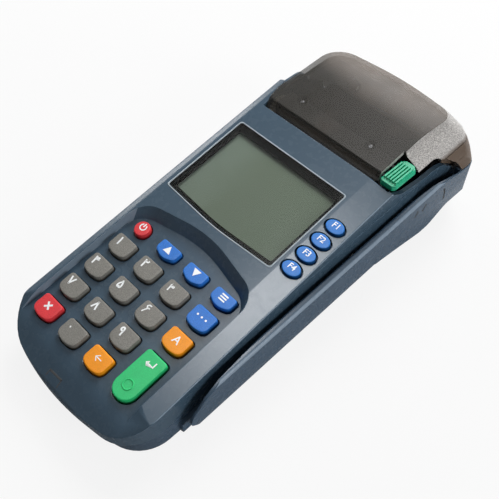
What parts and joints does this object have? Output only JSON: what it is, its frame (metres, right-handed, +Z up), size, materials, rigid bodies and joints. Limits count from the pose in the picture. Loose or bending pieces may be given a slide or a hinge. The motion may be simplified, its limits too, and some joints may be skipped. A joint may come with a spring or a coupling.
{
  "type": "payment terminal",
  "caption": "Counter payment terminal with a keypad, display, oval side keys, receipt printer under a hinged smoked cover, card swipe rail and chip-card slot.",
  "frame": {"origin": "on the table under the middle of the body, halfway along its length and width", "axes": "+X to the swipe-rail side, +Y from the keypad to the printer, +Z up"},
  "size_m": [0.088, 0.2078, 0.0531],
  "materials": {
    "shell_plastic": "fine-textured slate plastic",
    "base_plastic": "fine-textured blue-grey plastic",
    "smoked_plastic": "smoked, see-through",
    "latch_green": "ribbed",
    "key_red": "satin",
    "key_blue": "satin",
    "key_orange": "satin",
    "key_green": "satin",
    "key_grey": "satin",
    "key_sky": "satin",
    "lens_clear": "clear, with a dark border",
    "mask_black": "matt",
    "lcd_grey": "grey-green, satin",
    "bracket_white": "moulded",
    "steel": "plain",
    "black_plastic": "moulded",
    "cream_plastic": "moulded",
    "platen_rubber": "matt, ground",
    "gear_nylon": "moulded",
    "brass": "machined",
    "head_ceramic": "glazed strip on a metal bar",
    "silicone": "moulded",
    "board_green": "solder mask",
    "foot_rubber": "matt"
  },
  "bodies": {
    "case": {"top_housing": "shell_plastic", "base_housing": "base_plastic", "sam_door": "base_plastic", "display_lens": "lens_clear", "display_gasket": "mask_black", "lcd_panel": "lcd_grey", "lcd_bracket": "bracket_white", "cover_hinge_pins": "steel", "tear_bar": "steel", "printer_frame": "steel", "stepper_motor": "steel", "coin_cell": "steel", "mag_head_spring": "steel", "network_jack": "steel", "case_screws": "steel", "paper_bucket": "black_plastic", "chip_reader": "black_plastic", "power_jack": "black_plastic", "serial_jack": "black_plastic", "speaker": "black_plastic", "line_jack": "cream_plastic", "print_head": "head_ceramic", "keypad_membrane": "silicone", "keypad_board": "board_green", "function_board": "board_green", "main_board": "board_green", "rubber_feet": "foot_rubber"},
    "cover": {"printer_cover": "smoked_plastic", "platen_holder": "black_plastic", "cover_screws": "steel", "latch_pin": "steel"},
    "platen": {"platen_roller": "platen_rubber", "platen_gear": "gear_nylon"},
    "latch": {"cover_latch": "latch_green"},
    "drive": {"drive_gear": "gear_nylon"},
    "pinion": {"motor_pinion": "brass"},
    "head": {"mag_head": "steel"},
    "key_power": {"key_power": "key_red"},
    "key_cancel": {"key_cancel": "key_red"},
    "key_up": {"key_up": "key_blue"},
    "key_down": {"key_down": "key_blue"},
    "key_menu": {"key_menu": "key_blue"},
    "key_function": {"key_function": "key_blue"},
    "key_alpha": {"key_alpha": "key_orange"},
    "key_clear": {"key_clear": "key_orange"},
    "key_enter": {"key_enter": "key_green"},
    "key_1": {"key_1": "key_grey"},
    "key_2": {"key_2": "key_grey"},
    "key_3": {"key_3": "key_grey"},
    "key_4": {"key_4": "key_grey"},
    "key_5": {"key_5": "key_grey"},
    "key_6": {"key_6": "key_grey"},
    "key_7": {"key_7": "key_grey"},
    "key_8": {"key_8": "key_grey"},
    "key_9": {"key_9": "key_grey"},
    "key_0": {"key_0": "key_grey"},
    "key_f1": {"key_f1": "key_sky"},
    "key_f2": {"key_f2": "key_sky"},
    "key_f3": {"key_f3": "key_sky"},
    "key_f4": {"key_f4": "key_sky"}
  },
  "joints": [
    {"name": "cover_hinge", "type": "hinge", "parent": "case", "child": "cover", "pos_m": [-0.0045, 0.098, 0.03], "axis": [-1, 0, 0], "range_deg": [0, 80]},
    {"name": "latch_turn", "type": "hinge", "parent": "cover", "child": "latch", "pos_m": [0.0325, 0.052, 0.0452], "axis": [0, -1, 0], "range_deg": [0, 16], "stiffness_Nm_per_rad": 0.004},
    {"name": "platen_spin", "type": "hinge", "parent": "cover", "child": "platen", "pos_m": [-0.0356, 0.0515, 0.0395], "axis": [1, 0, 0], "continuous": true},
    {"name": "drive_spin", "type": "hinge", "parent": "case", "child": "drive", "pos_m": [-0.0356, 0.04797, 0.02634], "axis": [1, 0, 0], "continuous": true},
    {"name": "pinion_spin", "type": "hinge", "parent": "case", "child": "pinion", "pos_m": [-0.0356, 0.03843, 0.02169], "axis": [1, 0, 0], "continuous": true},
    {"name": "head_float", "type": "slide", "parent": "case", "child": "head", "axis": [-1, 0, 0], "range_m": [0, 0.0004], "stiffness_N_per_m": 500},
    {"name": "key_power_press", "type": "slide", "parent": "case", "child": "key_power", "axis": [0, 0.1461, -0.9893], "range_m": [0, 0.0015], "stiffness_N_per_m": 300},
    {"name": "key_cancel_press", "type": "slide", "parent": "case", "child": "key_cancel", "axis": [0, 0.1461, -0.9893], "range_m": [0, 0.0015], "stiffness_N_per_m": 300},
    {"name": "key_up_press", "type": "slide", "parent": "case", "child": "key_up", "axis": [0, 0.1461, -0.9893], "range_m": [0, 0.0015], "stiffness_N_per_m": 300},
    {"name": "key_down_press", "type": "slide", "parent": "case", "child": "key_down", "axis": [0, 0.1461, -0.9893], "range_m": [0, 0.0015], "stiffness_N_per_m": 300},
    {"name": "key_menu_press", "type": "slide", "parent": "case", "child": "key_menu", "axis": [0, 0.1461, -0.9893], "range_m": [0, 0.0015], "stiffness_N_per_m": 300},
    {"name": "key_function_press", "type": "slide", "parent": "case", "child": "key_function", "axis": [0, 0.1461, -0.9893], "range_m": [0, 0.0015], "stiffness_N_per_m": 300},
    {"name": "key_alpha_press", "type": "slide", "parent": "case", "child": "key_alpha", "axis": [0, 0.1461, -0.9893], "range_m": [0, 0.0015], "stiffness_N_per_m": 300},
    {"name": "key_clear_press", "type": "slide", "parent": "case", "child": "key_clear", "axis": [0, 0.1461, -0.9893], "range_m": [0, 0.0015], "stiffness_N_per_m": 300},
    {"name": "key_enter_press", "type": "slide", "parent": "case", "child": "key_enter", "axis": [0, 0.1461, -0.9893], "range_m": [0, 0.0015], "stiffness_N_per_m": 300},
    {"name": "key_1_press", "type": "slide", "parent": "case", "child": "key_1", "axis": [0, 0.1461, -0.9893], "range_m": [0, 0.0015], "stiffness_N_per_m": 300},
    {"name": "key_2_press", "type": "slide", "parent": "case", "child": "key_2", "axis": [0, 0.1461, -0.9893], "range_m": [0, 0.0015], "stiffness_N_per_m": 300},
    {"name": "key_3_press", "type": "slide", "parent": "case", "child": "key_3", "axis": [0, 0.1461, -0.9893], "range_m": [0, 0.0015], "stiffness_N_per_m": 300},
    {"name": "key_4_press", "type": "slide", "parent": "case", "child": "key_4", "axis": [0, 0.1461, -0.9893], "range_m": [0, 0.0015], "stiffness_N_per_m": 300},
    {"name": "key_5_press", "type": "slide", "parent": "case", "child": "key_5", "axis": [0, 0.1461, -0.9893], "range_m": [0, 0.0015], "stiffness_N_per_m": 300},
    {"name": "key_6_press", "type": "slide", "parent": "case", "child": "key_6", "axis": [0, 0.1461, -0.9893], "range_m": [0, 0.0015], "stiffness_N_per_m": 300},
    {"name": "key_7_press", "type": "slide", "parent": "case", "child": "key_7", "axis": [0, 0.1461, -0.9893], "range_m": [0, 0.0015], "stiffness_N_per_m": 300},
    {"name": "key_8_press", "type": "slide", "parent": "case", "child": "key_8", "axis": [0, 0.1461, -0.9893], "range_m": [0, 0.0015], "stiffness_N_per_m": 300},
    {"name": "key_9_press", "type": "slide", "parent": "case", "child": "key_9", "axis": [0, 0.1461, -0.9893], "range_m": [0, 0.0015], "stiffness_N_per_m": 300},
    {"name": "key_0_press", "type": "slide", "parent": "case", "child": "key_0", "axis": [0, 0.1461, -0.9893], "range_m": [0, 0.0015], "stiffness_N_per_m": 300},
    {"name": "key_f1_press", "type": "slide", "parent": "case", "child": "key_f1", "axis": [0, 0.1668, -0.986], "range_m": [0, 0.0009], "stiffness_N_per_m": 400},
    {"name": "key_f2_press", "type": "slide", "parent": "case", "child": "key_f2", "axis": [0, 0.1668, -0.986], "range_m": [0, 0.0009], "stiffness_N_per_m": 400},
    {"name": "key_f3_press", "type": "slide", "parent": "case", "child": "key_f3", "axis": [0, 0.1668, -0.986], "range_m": [0, 0.0009], "stiffness_N_per_m": 400},
    {"name": "key_f4_press", "type": "slide", "parent": "case", "child": "key_f4", "axis": [0, 0.1668, -0.986], "range_m": [0, 0.0009], "stiffness_N_per_m": 400}
  ],
  "couplings": [
    {"joint": "platen_spin", "follows": "drive_spin", "ratio": -1.25},
    {"joint": "pinion_spin", "follows": "drive_spin", "ratio": -2.5}
  ]
}
